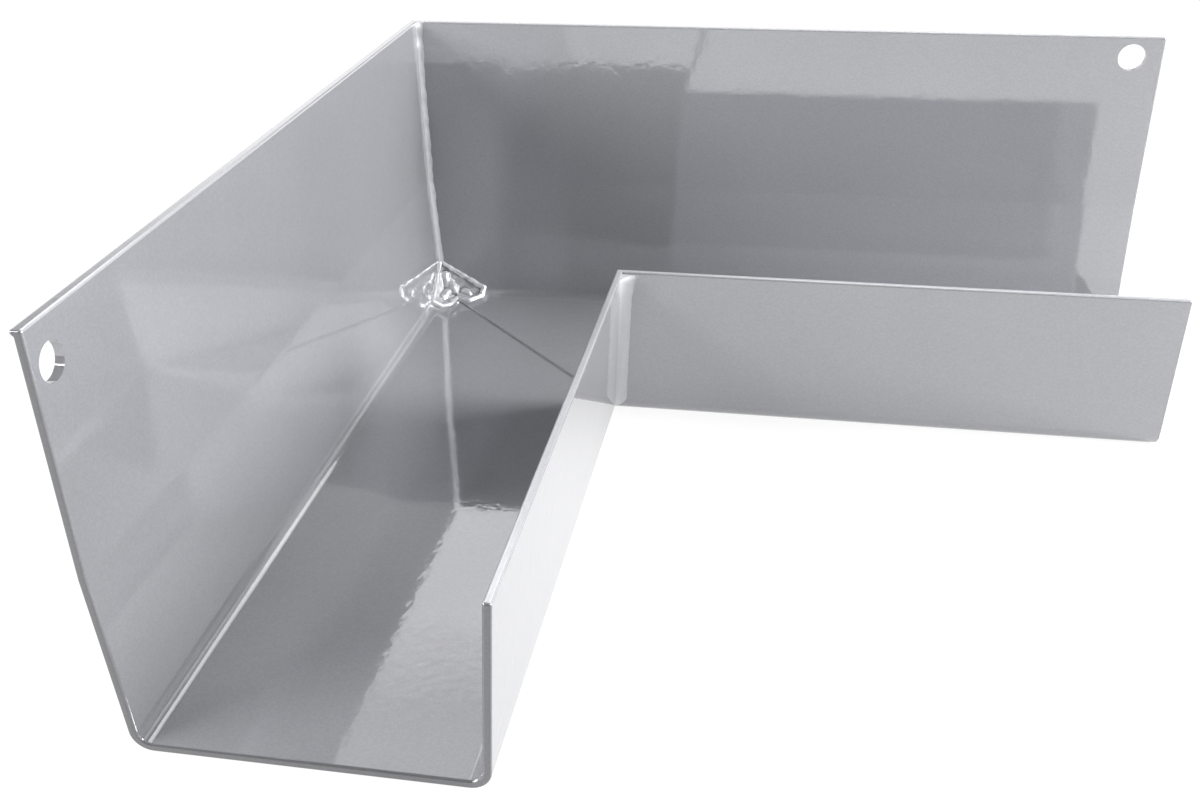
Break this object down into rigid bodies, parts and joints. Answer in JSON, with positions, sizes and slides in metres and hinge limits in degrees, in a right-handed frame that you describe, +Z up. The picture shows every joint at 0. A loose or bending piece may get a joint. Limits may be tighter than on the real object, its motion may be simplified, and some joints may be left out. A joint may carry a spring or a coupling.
{
  "type": "internal gutter angle",
  "caption": "Right-angled inside corner of a folded sheet box gutter: mitred and welded legs with a low front wall and a tall back flange with fixing holes.",
  "frame": {"origin": "under the middle of the part's footprint, on the underside of the sole", "axes": "+X along the right leg away from the corner, -Y along the left leg away from the corner, +Z up"},
  "size_m": [0.2412, 0.2412, 0.0992],
  "materials": {
    "coated_sheet": "glossy light grey metallic coat on folded aluminium sheet",
    "coated_weld": "glossy light grey metallic coat over a lumpy weld"
  },
  "bodies": {
    "root": {"left_leg": "coated_sheet", "right_leg": "coated_sheet", "corner_weld": "coated_weld", "front_weld": "coated_weld"}
  },
  "joints": []
}
